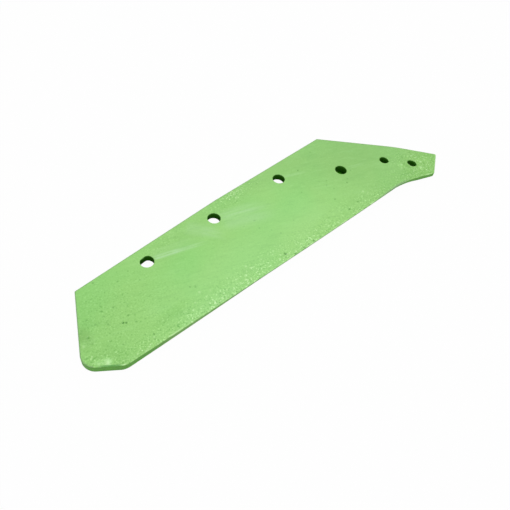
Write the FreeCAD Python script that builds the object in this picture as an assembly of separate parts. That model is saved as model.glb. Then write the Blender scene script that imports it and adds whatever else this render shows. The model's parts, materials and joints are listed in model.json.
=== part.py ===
# Plough share: one plate of steel, cut to outline, drilled for its bolts, its nose set down
# and its cutting edge ground thin from underneath. Millimetres and degrees.
#
# It is built in the blade's own frame: origin on the underside at the kink of the back edge,
# +X along the wing's back edge towards the nose, +Y to the back, +Z out of the working face.
# The finished share is then laid as it rests on a flat floor, with its origin at the middle
# of its box, at floor level.
import FreeCAD, Part
import math
import os

# Plate
plate_thickness = 8.0
rim_radius = 0.5

# Back edge, on both sides of its kink
wing_back_length = 169.2
nose_back_length = 163.5
nose_back_turn = 2.0

# Landside edge, nose end and nose underlip
landside_length = 151.4
landside_angle = 46.5
nose_end_length = 36.8
nose_end_angle = 27.4
nose_lip_length = 44.0
nose_lip_angle = 18.6

# Wing end and the clipped corner between it and the cutting edge
wing_end_length = 74.2
wing_end_angle = 59.0
wing_clip_length = 35.1
wing_clip_angle = 38.7

# Cutting edge: how far its middle stands out from a straight line
cutting_edge_crown = 1.3

# Corner radii of the outline
wing_tip_radius = 1.0
landside_corner_radius = 1.0
nose_tip_radius = 1.5
nose_heel_radius = 3.0
throat_radius = 168.0
edge_corner_radius = 14.0
wing_heel_radius = 13.0

# Ground bevel: the land is the height of edge face left under the working face
bevel_angle = 15.0
land_at_wing = 7.2
land_at_middle = 1.1
land_at_nose = 4.9
bevel_run = 145.0

# Set of the nose: it is bent down just past the first nose hole
nose_set_angle = 5.0
bend_radius = 244.0
bend_clearance = 0.4

# Bolt holes: four for the frog, two for a bolted point
frog_hole_diameter = 13.5
point_hole_diameter = 10.5
wing_hole_along = 101.7
wing_hole_inset = 15.7
kink_hole_along = 17.2
kink_hole_inset = 17.4
back_hole_along = 77.7
back_hole_inset = 19.1
shin_hole_along = 24.9
shin_hole_inset = 49.9
point_hole_from_tip = 37.2
point_hole_inset = 24.3
point_hole_pitch = 34.9
first_point_hole_inset = 25.9

# How far the cutting tools stand clear of the plate, and how far from upright a wall may lean
tool_reach = 12.0
upright_tolerance = 0.01


def direction(angle):
    """Unit vector in the blade's plane, the angle counted from +X towards +Y."""
    return FreeCAD.Vector(math.cos(math.radians(angle)), math.sin(math.radians(angle)), 0)


def inward_of(along):
    """Unit vector to the right of a direction, which is into the plate from its back edges."""
    return FreeCAD.Vector(along.y, -along.x, 0)


# The corners, walked both ways round from the kink
kink = FreeCAD.Vector(0, 0, 0)
back_direction = direction(-nose_back_turn)
landside_direction = direction(-landside_angle)
lip_direction = direction(-nose_lip_angle)
landside_corner = kink + back_direction * nose_back_length
nose_tip = landside_corner + landside_direction * landside_length
nose_heel = nose_tip - direction(nose_end_angle) * nose_end_length
throat = nose_heel - lip_direction * nose_lip_length
wing_tip = kink - direction(0) * wing_back_length
wing_heel = wing_tip - direction(wing_end_angle) * wing_end_length
edge_corner = wing_heel + direction(-wing_clip_angle) * wing_clip_length

# The cutting edge runs from the clipped corner to the throat
edge_length = (throat - edge_corner).Length
edge_direction = (throat - edge_corner) / edge_length
edge_inward = FreeCAD.Vector(-edge_direction.y, edge_direction.x, 0)

# The bend, by distances along the landside edge from its corner
point_hole_along = landside_length - point_hole_from_tip
first_point_hole_along = point_hole_along - point_hole_pitch
bend_start = first_point_hole_along + point_hole_diameter / 2 + bend_clearance


def landside_distance(point):
    """How far a point lies along the landside edge from its corner."""
    return (point - landside_corner).dot(landside_direction)


def nose_drop(point):
    """How far the underside lies below the flat of the blade under a point of the plan."""
    past_start = landside_distance(point) - bend_start
    bend_end = bend_radius * math.sin(math.radians(nose_set_angle))
    if past_start <= 0:
        return 0.0
    if past_start <= bend_end:
        return bend_radius - math.sqrt(bend_radius ** 2 - past_start ** 2)
    bend_drop = bend_radius * (1 - math.cos(math.radians(nose_set_angle)))
    return bend_drop + (past_start - bend_end) * math.tan(math.radians(nose_set_angle))


def corner_arc(before, corner, after, radius):
    """Start, middle and end of the arc that rounds a corner of the outline."""
    to_before = (before - corner).normalize()
    to_after = (after - corner).normalize()
    half_angle = to_before.getAngle(to_after) / 2
    tangent = radius / math.tan(half_angle)
    bisector = (to_before + to_after).normalize()
    middle = corner + bisector * (radius / math.sin(half_angle) - radius)
    return corner + to_before * tangent, middle, corner + to_after * tangent


def outline_face():
    """The plan of the plate: straight edges joined by corner arcs, with a crowned cutting edge."""
    corners = [
        (landside_corner, landside_corner_radius),
        (nose_tip, nose_tip_radius),
        (nose_heel, nose_heel_radius),
        (throat, throat_radius),
        (edge_corner, edge_corner_radius),
        (wing_heel, wing_heel_radius),
        (wing_tip, wing_tip_radius),
    ]
    edges = []
    last = kink
    for index, (corner, radius) in enumerate(corners):
        before = corners[index - 1][0] if index else kink
        after = corners[index + 1][0] if index + 1 < len(corners) else kink
        start, middle, end = corner_arc(before, corner, after, radius)
        if corner is edge_corner:
            crown = (last + start) / 2 - edge_inward * cutting_edge_crown
            edges.append(Part.Arc(last, crown, start).toShape())
        else:
            edges.append(Part.makeLine(last, start))
        edges.append(Part.Arc(start, middle, end).toShape())
        last = end
    edges.append(Part.makeLine(last, kink))
    return Part.Face(Part.Wire(edges))


def bent_sheet():
    """A sheet wider than the plate, flat up to the bend and set down beyond it."""
    set_angle = math.radians(nose_set_angle)
    span = wing_back_length + nose_back_length + landside_length
    up = FreeCAD.Vector(0, 0, 1)
    start = landside_corner + landside_direction * bend_start
    centre = start - up * bend_radius

    def on_bend(radius, angle):
        return centre + landside_direction * (radius * math.sin(angle)) + up * (radius * math.cos(angle))

    def side(radius):
        """Flat run, bend and nose run of one face of the sheet."""
        bend_end = on_bend(radius, set_angle)
        slope = landside_direction * math.cos(set_angle) - up * math.sin(set_angle)
        flat_start = on_bend(radius, 0) - landside_direction * span
        arc = Part.Arc(on_bend(radius, 0), on_bend(radius, set_angle / 2), bend_end)
        return flat_start, on_bend(radius, 0), arc, bend_end, bend_end + slope * landside_length

    under = side(bend_radius)
    upper = side(bend_radius + plate_thickness)
    section = Part.Face(Part.Wire([
        Part.makeLine(under[0], under[1]),
        under[2].toShape(),
        Part.makeLine(under[3], under[4]),
        Part.makeLine(under[4], upper[4]),
        Part.makeLine(upper[4], upper[3]),
        upper[2].toShape(),
        Part.makeLine(upper[1], upper[0]),
        Part.makeLine(upper[0], under[0]),
    ]))
    across = inward_of(landside_direction)
    section.translate(across * -span)
    return section.extrude(across * (2 * span))


def blank():
    """The plate cut to its outline, with the rims of both faces softened."""
    deepest = nose_drop(nose_tip) + tool_reach
    cutter = outline_face()
    cutter.translate(FreeCAD.Vector(0, 0, -deepest))
    prism = cutter.extrude(FreeCAD.Vector(0, 0, deepest + plate_thickness + tool_reach))
    plate = bent_sheet().common(prism).Solids[0]
    rims = [edge for edge in plate.Edges if is_rim(edge, plate)]
    return plate.makeFillet(rim_radius, rims)


def is_rim(edge, plate):
    """Whether an edge parts an upright wall from a face of the plate."""
    middle = edge.valueAt((edge.FirstParameter + edge.LastParameter) / 2)
    walls = 0
    for face in plate.ancestorsOfType(edge, Part.Face):
        u, v = face.Surface.parameter(middle)
        if abs(face.normalAt(u, v).z) < upright_tolerance:
            walls += 1
    return walls == 1


def edge_point(distance):
    """Point of the crowned cutting edge, by its distance from the clipped corner."""
    share = distance / edge_length
    crown = 4 * cutting_edge_crown * share * (1 - share)
    return edge_corner + edge_direction * distance - edge_inward * crown


def bevel_section(point, inward, land):
    """Section of the grinding at one place of the edge: all that lies under the ground bevel."""
    slope = math.tan(math.radians(bevel_angle))
    depth = plate_thickness - land
    base = point - FreeCAD.Vector(0, 0, nose_drop(point))
    heel = depth / slope + tool_reach
    low = FreeCAD.Vector(0, 0, -tool_reach * slope)
    outer = base - inward * tool_reach
    return Part.makePolygon([
        outer + FreeCAD.Vector(0, 0, depth + tool_reach * slope),
        base + inward * heel + low,
        outer + low,
        outer + FreeCAD.Vector(0, 0, depth + tool_reach * slope),
    ])


def edge_grinding():
    """The metal ground away from the underside along the cutting edge and the nose's lip."""
    lip_inward = FreeCAD.Vector(-lip_direction.y, lip_direction.x, 0)
    throat_inward = (edge_inward + lip_inward).normalize()
    throat_start, throat_middle, throat_end = corner_arc(edge_corner, throat, nose_heel, throat_radius)
    run_out = tool_reach * 2
    land_slope = (land_at_wing - land_at_middle) / bevel_run
    sections = [
        bevel_section(edge_point(-run_out), edge_inward, land_at_wing + run_out * land_slope),
        bevel_section(edge_point(bevel_run), edge_inward, land_at_middle),
        bevel_section(throat_start, edge_inward, land_at_middle),
        bevel_section(throat_middle, throat_inward, (land_at_middle + land_at_nose) / 2),
        bevel_section(throat_end, lip_inward, land_at_nose),
        bevel_section(nose_heel + lip_direction * run_out, lip_inward, land_at_nose),
    ]
    return Part.makeLoft(sections, True, True)


def in_from(start, along, distance, inset):
    """A point set in from an edge: its distance along the edge from a start, and its inset."""
    return start + along * distance + inward_of(along) * inset


def bolt_holes():
    """Centre on the underside, axis and diameter of each hole, in the blade's frame."""
    up = FreeCAD.Vector(0, 0, 1)
    set_angle = math.radians(nose_set_angle)
    nose_up = up * math.cos(set_angle) + landside_direction * math.sin(set_angle)
    wing_direction = direction(0)
    frog_holes = {
        "wing_hole": in_from(kink, wing_direction, -wing_hole_along, wing_hole_inset),
        "kink_hole": in_from(kink, wing_direction, -kink_hole_along, kink_hole_inset),
        "back_hole": in_from(kink, back_direction, back_hole_along, back_hole_inset),
        "shin_hole": in_from(landside_corner, landside_direction, shin_hole_along, shin_hole_inset),
    }
    holes = {name: (centre, up, frog_hole_diameter) for name, centre in frog_holes.items()}
    flat_hole = in_from(landside_corner, landside_direction, first_point_hole_along, first_point_hole_inset)
    nose_hole = in_from(landside_corner, landside_direction, point_hole_along, point_hole_inset)
    holes["first_point_hole"] = (flat_hole, up, point_hole_diameter)
    holes["point_hole"] = (nose_hole - up * nose_drop(nose_hole), nose_up, point_hole_diameter)
    return holes


def plough_share():
    """The share in the blade's frame: blank, ground edge and holes."""
    share = blank().cut(edge_grinding())
    for centre, axis, diameter in bolt_holes().values():
        depth = plate_thickness + 2 * tool_reach
        share = share.cut(Part.makeCylinder(diameter / 2, depth, centre - axis * tool_reach, axis))
    return share.Solids[0]


def resting_placement(share):
    """How the share lies on a floor: on its wing end and on the tip of its set-down nose."""
    nose_foot = nose_tip - FreeCAD.Vector(0, 0, nose_drop(nose_tip))
    floor_normal = (nose_foot - wing_tip).cross(wing_tip - wing_heel).normalize()
    if floor_normal.z < 0:
        floor_normal = -floor_normal
    to_level = FreeCAD.Rotation(floor_normal, FreeCAD.Vector(0, 0, 1))
    lie = FreeCAD.Placement(FreeCAD.Vector(0, 0, 0), to_level)
    laid = share.copy()
    laid.Placement = lie
    box = laid.optimalBoundingBox(False, False)
    middle = FreeCAD.Vector((box.XMin + box.XMax) / 2, (box.YMin + box.YMax) / 2, box.ZMin)
    return FreeCAD.Placement(-middle, FreeCAD.Rotation()) * lie


def main():
    """Build the share, lay it at rest and write it."""
    os.makedirs("parts", exist_ok=True)
    share = plough_share()
    share.transformShape(resting_placement(share).toMatrix())
    share.exportStep("parts/plough_share.step")
    print("valid", share.isValid(), "volume", round(share.Volume), "faces", len(share.Faces))


main()
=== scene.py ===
"""A plough share of painted steel, lying at rest on a pale studio floor. Metres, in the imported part's frame."""
import json
import logging
import math
from dataclasses import dataclass
from enum import Enum, IntEnum
from functools import reduce
from typing import Any, Dict, FrozenSet, List, Optional, Sequence, Set, Tuple, Union

import bmesh
import bpy
import numpy as np
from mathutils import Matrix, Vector, kdtree
from mathutils.bvhtree import BVHTree
from mathutils.geometry import delaunay_2d_cdt


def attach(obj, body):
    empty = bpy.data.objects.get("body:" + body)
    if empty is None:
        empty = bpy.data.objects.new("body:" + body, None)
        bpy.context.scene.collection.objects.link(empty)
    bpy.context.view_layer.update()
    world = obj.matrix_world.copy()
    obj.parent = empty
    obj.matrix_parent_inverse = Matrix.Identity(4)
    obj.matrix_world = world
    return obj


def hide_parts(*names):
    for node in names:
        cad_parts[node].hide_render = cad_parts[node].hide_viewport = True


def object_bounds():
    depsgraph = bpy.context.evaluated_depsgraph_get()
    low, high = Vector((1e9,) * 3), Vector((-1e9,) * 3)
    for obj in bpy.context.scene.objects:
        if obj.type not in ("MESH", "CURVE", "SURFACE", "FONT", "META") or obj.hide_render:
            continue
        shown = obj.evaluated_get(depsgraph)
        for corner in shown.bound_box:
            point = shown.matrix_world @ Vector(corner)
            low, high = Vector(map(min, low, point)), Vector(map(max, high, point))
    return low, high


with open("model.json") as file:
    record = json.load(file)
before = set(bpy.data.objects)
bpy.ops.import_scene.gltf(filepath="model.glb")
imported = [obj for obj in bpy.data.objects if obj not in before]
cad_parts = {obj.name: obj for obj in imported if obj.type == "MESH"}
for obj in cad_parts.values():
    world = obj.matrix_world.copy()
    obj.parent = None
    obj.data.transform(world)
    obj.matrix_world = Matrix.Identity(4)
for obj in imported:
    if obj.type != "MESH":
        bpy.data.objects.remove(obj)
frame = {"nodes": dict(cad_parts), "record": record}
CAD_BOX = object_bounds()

LOG = logging.getLogger("plough_share")
SHARE_NODE = "plough_share"
BODY = "root"

MM = 0.001
WELD_GAP = 1e-6
IMAGE_WIDTH = 510.0

Colour = Tuple[float, float, float]
Span = Tuple[float, float, float, float]
Number = Union[float, "Wire"]

WHITE: Colour = (1.0, 1.0, 1.0)


class Mark(Enum):
    """Names of the values kept at the skin's points, which its finish and its forging read."""

    EDGE_GAP = "edge_gap"
    RIM_GAP = "rim_gap"
    BORE_WALL = "bore_wall"
    WORKED = "worked"
    NIB_SHARE = "nib_share"
    PIT_SHARE = "pit_share"
    NIB = "nib"
    PIT = "pit"
    SPOT = "spot"
    # Tone holds random tone together with painted shade and painted sheen.
    TONE = "tone"
    TEXTURE = "texture"
    LEAF = "leaf"
    FLECKS = "flecks"


class Side(IntEnum):
    """Parts of the plate's skin, by the way that they face. Faces keep theirs as their material index."""

    WORKING = 0
    UNDER = 1
    WALL = 2


class Wire:
    """One output of a node, with Python's operators for the maths on it.

    Attributes:
        graph: The tree that the node is in.
        socket: The output that the wire starts from.
    """

    def __init__(self, graph: "Graph", socket: bpy.types.NodeSocket) -> None:
        """Wrap a socket of a tree."""
        self.graph = graph
        self.socket = socket

    def __add__(self, other: Number) -> "Wire":
        """Sum."""
        return self.graph.math("ADD", self, other)

    def __radd__(self, other: Number) -> "Wire":
        """Sum, with the number first."""
        return self.graph.math("ADD", other, self)

    def __sub__(self, other: Number) -> "Wire":
        """Difference."""
        return self.graph.math("SUBTRACT", self, other)

    def __rsub__(self, other: Number) -> "Wire":
        """Difference, with the number first."""
        return self.graph.math("SUBTRACT", other, self)

    def __mul__(self, other: Number) -> "Wire":
        """Product."""
        return self.graph.math("MULTIPLY", self, other)

    def __rmul__(self, other: Number) -> "Wire":
        """Product, with the number first."""
        return self.graph.math("MULTIPLY", other, self)

    def __truediv__(self, other: Number) -> "Wire":
        """Quotient."""
        return self.graph.math("DIVIDE", self, other)

    def __rtruediv__(self, other: Number) -> "Wire":
        """Quotient, with the number first."""
        return self.graph.math("DIVIDE", other, self)

    def __neg__(self) -> "Wire":
        """The value with its sign turned."""
        return self * -1.0

    def other(self, name: str) -> "Wire":
        """Another output of the same node."""
        return Wire(self.graph, self.socket.node.outputs[name])

    def clamp(self) -> "Wire":
        """The value, kept between 0 and 1."""
        return self.graph.node("ShaderNodeClamp", values={"Value": self})

    def rise(self, low: float, high: float) -> "Wire":
        """Smooth step.

        Args:
            low: Value at which the step starts.
            high: Value at which it is over.

        Returns:
            0 before the step and 1 after it, or the other way round where low is above high.
        """
        start, end = (0.0, 1.0) if low < high else (1.0, 0.0)
        ends = {"From Min": min(low, high), "From Max": max(low, high), "To Min": start, "To Max": end}
        return self.graph.node("ShaderNodeMapRange", {"interpolation_type": "SMOOTHSTEP"}, {"Value": self, **ends})


class Graph:
    """Writes nodes into a shader's or a geometry's tree.

    Attributes:
        COLOURS: Places of the two colours among a Mix node's inputs, where the names don't tell them apart.
        MIXED: Place of their blend among its outputs.
        tree: The tree.
    """

    COLOURS = (6, 7)
    MIXED = 2

    def __init__(self, tree: bpy.types.NodeTree) -> None:
        """Wrap a tree to write into."""
        self.tree = tree

    @classmethod
    def fresh(cls, owner: Union[bpy.types.Material, bpy.types.World]) -> "Graph":
        """Empty the tree of a material or a world.

        Args:
            owner: The material or the world.

        Returns:
            Its empty tree.
        """
        owner.use_nodes = True
        owner.node_tree.nodes.clear()
        return cls(owner.node_tree)

    def node(
        self,
        kind: str,
        settings: Optional[Dict[str, Any]] = None,
        values: Optional[Dict[Union[str, int], Any]] = None,
        output: Union[str, int] = 0,
    ) -> Wire:
        """Add a node.

        Args:
            kind: The node's type.
            settings: Its own properties, such as an operation or a ramp's stops.
            values: Numbers or wires for its inputs, by name or place.
            output: The output that is wanted.

        Returns:
            The wire from that output.
        """
        made = self.tree.nodes.new(kind)
        for name, setting in (settings or {}).items():
            setattr(made, name, setting)
        for key, value in (values or {}).items():
            self.feed(made.inputs[key], value)
        return Wire(self, made.outputs[output])

    def feed(self, socket: bpy.types.NodeSocket, value: Any) -> None:
        """Give an input its wire or its number.

        Args:
            socket: The input.
            value: A wire, a number, a vector or a colour.
        """
        if isinstance(value, Wire):
            self.tree.links.new(value.socket, socket)
        elif getattr(socket, "type", "") == "RGBA" and len(value) == 3:
            socket.default_value = (*value, 1.0)
        else:
            socket.default_value = value

    def end(self, kind: str, name: str, result: Wire) -> None:
        """Close the tree with a node of a kind, whose named input gets the result."""
        self.feed(self.tree.nodes.new(kind).inputs[name], result)

    def math(self, operation: str, *values: Number) -> Wire:
        """A Math node's result on one, two or three numbers."""
        return self.node("ShaderNodeMath", {"operation": operation}, dict(enumerate(values)))

    def vector(self, operation: str, *values: Any, output: str = "Vector") -> Wire:
        """A Vector Math node's result on vectors."""
        return self.node("ShaderNodeVectorMath", {"operation": operation}, dict(enumerate(values)), output)

    def in_mm(self, place: Wire) -> Wire:
        """A place in millimetres."""
        return self.node("ShaderNodeVectorMath", {"operation": "SCALE"}, {0: place, "Scale": 1.0 / MM})

    def dot(self, vector: Wire, direction: Sequence[float]) -> Wire:
        """How far a vector reaches along a direction."""
        return self.vector("DOT_PRODUCT", vector, tuple(direction), output="Value")

    def distance(self, first: Wire, second: Any) -> Wire:
        """How far apart two places are."""
        return self.vector("DISTANCE", first, second, output="Value")

    def turned(self, vector: Wire, bearing: float) -> Tuple[Wire, Wire]:
        """How far a vector reaches in plan along a bearing in degrees from +X, and to the left of it."""
        right, back = math.cos(math.radians(bearing)), math.sin(math.radians(bearing))
        return self.dot(vector, (right, back, 0.0)), self.dot(vector, (-back, right, 0.0))

    def layers(self, colour: Any, *coats: Tuple[Wire, Colour]) -> Wire:
        """Lay colours over a colour, one after another.

        Args:
            colour: The lowest one.
            coats: How much of each layer shows, from 0 to 1, and its colour.

        Returns:
            The colour that is seen.
        """
        below, above = self.COLOURS
        for share, coat in coats:
            values = {0: share, below: colour, above: coat}
            colour = self.node("ShaderNodeMix", {"data_type": "RGBA"}, values, self.MIXED)
        return colour

    def noise(self, vector: Wire, size: float, detail: float = 2.0, roughness: float = 0.5) -> Wire:
        """Soft noise, mostly from 0.25 to 0.75. Places and the size of its swells are in millimetres."""
        values = {"Vector": vector, "Scale": 1.0 / size, "Detail": detail, "Roughness": roughness}
        return self.node("ShaderNodeTexNoise", {"noise_dimensions": "3D"}, values)

    def mark(self, mark: Mark) -> Wire:
        """Read a value kept at the skin's points.

        Args:
            mark: Its name.

        Returns:
            The value.
        """
        if isinstance(self.tree, bpy.types.GeometryNodeTree):
            return self.node("GeometryNodeInputNamedAttribute", {"data_type": "FLOAT"}, {"Name": mark.value})
        return self.node("ShaderNodeAttribute", {"attribute_name": mark.value}, output="Fac")

    def principled(self, values: Dict[str, Any]) -> Wire:
        """A surface shader with what its inputs are given."""
        return self.node("ShaderNodeBsdfPrincipled", values=values, output="BSDF")

    def blend(self, share: Wire, first: Wire, second: Wire) -> Wire:
        """Two shaders, where a share of 1 is all the second."""
        return self.node("ShaderNodeMixShader", values={0: share, 1: first, 2: second})


def show(name: str, data: Any) -> bpy.types.Object:
    """Put a mesh, lamp or camera into the scene.

    Args:
        name: The object's name.
        data: What it shows.

    Returns:
        The object, at the origin.
    """
    shown = bpy.data.objects.new(name, data)
    bpy.context.scene.collection.objects.link(shown)
    return shown


def read_points(mesh: bpy.types.Mesh) -> np.ndarray:
    """Read where a mesh's points are.

    Args:
        mesh: The mesh.

    Returns:
        Rows of x, y, z.
    """
    points = np.zeros(len(mesh.vertices) * 3)
    mesh.vertices.foreach_get("co", points)
    return points.reshape(-1, 3)


def move_points(mesh: bpy.types.Mesh, points: np.ndarray) -> None:
    """Give a mesh's points new places, as rows of x, y, z."""
    mesh.vertices.foreach_set("co", points.ravel())
    mesh.update()


@dataclass(frozen=True)
class Bore:
    """A round through hole of the share.

    Attributes:
        name: The mount's name.
        centre: Middle of the hole.
        axis: Direction out of the working face.
        radius: Its radius.
        depth: The wall's length.
    """

    name: str
    centre: Vector
    axis: Vector
    radius: float
    depth: float

    @classmethod
    def from_mount(cls, mount: Dict[str, Any]) -> "Bore":
        """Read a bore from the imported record.

        Args:
            mount: The record's entry for it.

        Returns:
            The bore.
        """
        size = mount["dims"]
        axis = Vector(mount["axis"]).normalized()
        return cls(mount["name"], Vector(mount["pos_m"]), axis, size["r_mm"] * MM, size["length_mm"] * MM)

    def around(self, points: np.ndarray) -> Tuple[np.ndarray, np.ndarray]:
        """Where points lie round the hole's axis.

        Args:
            points: Rows of x, y, z.

        Returns:
            Each point's offset from the axis, square to it, and that offset's length.
        """
        away = points - np.array(self.centre)
        axis = np.array(self.axis)
        flat = away - np.outer(away @ axis, axis)
        return flat, np.linalg.norm(flat, axis=1)

    def holds(self, points: np.ndarray, reach: float) -> bool:
        """Whether all points lie within a number of radii of the axis."""
        return bool((self.around(points)[1] < self.radius * reach).all())


@dataclass(frozen=True)
class RimBlemish:
    """A place where a hole isn't round.

    Attributes:
        bore: The hole's name.
        bearing: Direction from its centre in plan, in degrees from +X towards +Y.
        spread: How wide the blemish is, in degrees.
        reach: How far its wall is pushed out, or in where it is negative.
    """

    bore: str
    bearing: float
    spread: float
    reach: float


@dataclass(frozen=True)
class Patch:
    """A round area of the working face with more of something.

    Attributes:
        centre: Its middle in plan.
        radius: How far it reaches.
        share: How much of it there is, or is taken away where it is negative.
        stretch: How much longer it is along X than along Y.
    """

    centre: Tuple[float, float]
    radius: float
    share: float
    stretch: float = 1.0

    def weigh(self, points: np.ndarray) -> np.ndarray:
        """How much of it points have.

        Args:
            points: Rows that start with x and y.

        Returns:
            Each point's share, which fades out towards the patch's border.
        """
        across = (points[:, 0] - self.centre[0]) / self.stretch
        away = np.hypot(across, points[:, 1] - self.centre[1]) / self.radius
        return self.share * np.clip(1.0 - away**2, 0.0, 1.0)


@dataclass(frozen=True)
class Spot:
    """One nib or pit in a place of its own.

    Attributes:
        x: Its middle in plan, along X.
        y: The same along Y.
        radius: How far it reaches.
        height: Above the face, or below it where negative.
    """

    x: float
    y: float
    radius: float
    height: float

    @classmethod
    def in_mm(cls, x: float, y: float, radius: float, height: float) -> "Spot":
        """A spot whose measures are in millimetres."""
        return cls(x * MM, y * MM, radius * MM, height * MM)

    def gap(self, points: np.ndarray) -> np.ndarray:
        """How far points lie from its middle in plan, in radii."""
        return np.hypot(points[:, 0] - self.x, points[:, 1] - self.y) / self.radius

    def form(self, points: np.ndarray) -> np.ndarray:
        """How high its dome stands at each point, in millimetres."""
        return self.height / MM * np.clip(1.0 - self.gap(points) ** 2, 0.0, 1.0) ** 2


def side_of(face: bmesh.types.BMFace) -> int:
    """Which part of the skin a face belongs to."""
    return face.material_index


class SideFinder:
    """Sorts the plate's faces into its sides.

    Attributes:
        WORKING_SLOPE: Least height of a working face's normal. The nose is set down by 5 degrees.
        UNDER_SLOPE: The same for the underside, which has the bevel of 15 degrees.
        CREASE_ANGLE: Bend of the underside that counts as a crease.
    """

    WORKING_SLOPE = math.cos(math.radians(9.5))
    UNDER_SLOPE = math.cos(math.radians(17.5))
    CREASE_ANGLE = math.radians(2.0)

    def sort(self, bm: bmesh.types.BMesh) -> None:
        """Give each face its side, and mark the underside's creases as seams.

        Args:
            bm: The welded plate.
        """
        for face in bm.faces:
            face.material_index = Side.WALL
        working = self._largest({face for face in bm.faces if face.normal.z > self.WORKING_SLOPE})
        under = self._largest({face for face in bm.faces if face.normal.z < -self.UNDER_SLOPE})
        for face in working:
            face.material_index = Side.WORKING
        for face in under:
            face.material_index = Side.UNDER
        for edge in bm.edges:
            inside = all(face in under for face in edge.link_faces)
            edge.seam = inside and edge.calc_face_angle() > self.CREASE_ANGLE

    @staticmethod
    def _largest(faces: Set[bmesh.types.BMFace]) -> Set[bmesh.types.BMFace]:
        """Find the connected group of faces with the most area.

        Args:
            faces: All faces that count.

        Returns:
            The group.
        """
        left = set(faces)
        best: Set[bmesh.types.BMFace] = set()
        while left:
            group = {left.pop()}
            border = list(group)
            while border:
                face = border.pop()
                fresh = {other for edge in face.edges for other in edge.link_faces} & left
                left -= fresh
                group |= fresh
                border += fresh
            if sum(face.calc_area() for face in group) > sum(face.calc_area() for face in best):
                best = group
        return best


class Gauge:
    """Measures in plan how far places lie from the outer rims of the working face.

    Attributes:
        STEP: Distance between the points kept along the rims.
        BORE_REACH: How many radii from a hole's axis an edge still belongs to the hole.
        CUTTING_FACING: Y of a wall's outward direction, below which the wall is the cutting edge's.
        rim: Points along all outer rims.
        cutting: Points along the cutting edge, the clipped corner and the nose's lip.
    """

    STEP = 1.0 * MM
    BORE_REACH = 1.2
    CUTTING_FACING = -0.7

    def __init__(self, bm: bmesh.types.BMesh, bores: Sequence[Bore]) -> None:
        """Walk the working face's border and keep points along it.

        Args:
            bm: The welded plate.
            bores: Its holes, whose rims don't count.
        """
        rim: List[Vector] = []
        cutting: List[Vector] = []
        for edge in bm.edges:
            sides = [side_of(face) for face in edge.link_faces]
            start, end = (vert.co for vert in edge.verts)
            middle = np.array([(start + end) / 2])
            if sides.count(Side.WORKING) != 1 or any(bore.holds(middle, self.BORE_REACH) for bore in bores):
                continue
            count = max(1, math.ceil(edge.calc_length() / self.STEP))
            points = [start.lerp(end, place / count) for place in range(count + 1)]
            rim += points
            wall = edge.link_faces[1 - sides.index(Side.WORKING)]
            if Vector((wall.normal.x, wall.normal.y)).normalized().y < self.CUTTING_FACING:
                cutting += points
        self.rim = self._tree(rim)
        self.cutting = self._tree(cutting)

    @staticmethod
    def _tree(points: Sequence[Vector]) -> kdtree.KDTree:
        """Sort points for nearest-point searches in plan.

        Args:
            points: The points.

        Returns:
            Their tree.
        """
        tree = kdtree.KDTree(len(points))
        for index, point in enumerate(points):
            tree.insert((point.x, point.y, 0.0), index)
        tree.balance()
        return tree

    def edge_gap(self, point: Sequence[float]) -> float:
        """Distance from the cutting edge, the clipped corner and the nose's lip."""
        return self.cutting.find((point[0], point[1], 0.0))[2]

    def rim_gap(self, point: Sequence[float]) -> float:
        """Distance from the nearest outer rim."""
        return self.rim.find((point[0], point[1], 0.0))[2]


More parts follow.
